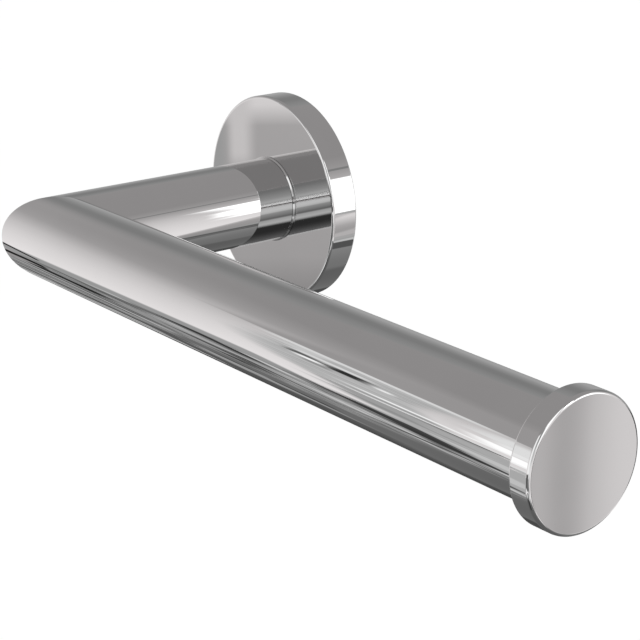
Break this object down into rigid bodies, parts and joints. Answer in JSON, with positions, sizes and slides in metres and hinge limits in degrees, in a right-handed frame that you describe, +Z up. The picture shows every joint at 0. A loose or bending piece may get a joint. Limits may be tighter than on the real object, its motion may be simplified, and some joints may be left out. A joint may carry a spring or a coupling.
{
  "type": "toilet roll holder",
  "caption": "Wall-mounted toilet roll holder: a round rose over a hidden wall plate, a tubular post, and a bar that leaves it at a mitred corner and ends in a flat round cap.",
  "frame": {"origin": "centre of the wall plate's back face, on the wall and on the axis of the post", "axes": "+Y into the wall along the post's axis, +X along the bar towards its cap, +Z up"},
  "size_m": [0.1917, 0.0775, 0.05],
  "materials": {
    "chrome": "polished chrome plate",
    "steel": "plain turned steel",
    "zinc_plated_steel": "dull zinc plate",
    "brass": "plain turned brass",
    "braze": "silver braze, as it set"
  },
  "bodies": {
    "wall_mount": {"wall_plate": "zinc_plated_steel"},
    "holder": {"rose": "chrome", "spring_washer": "steel", "post_screw": "steel", "dowel_pin": "steel", "seat_ring": "chrome", "post_plug": "brass", "post_tube": "chrome", "mitre_braze": "braze", "bar_tube": "chrome", "cap_insert": "brass", "cap_stud": "steel", "end_cap": "chrome"},
    "grip_screw": {"set_screw": "steel"}
  },
  "joints": [
    {"name": "holder_turn", "type": "hinge", "parent": "wall_mount", "child": "holder", "pos_m": [0, 0, 0], "axis": [0, 1, 0], "continuous": true},
    {"name": "set_screw_travel", "type": "slide", "parent": "holder", "child": "grip_screw", "axis": [0, 0, -1], "range_m": [0, 0.002]}
  ]
}
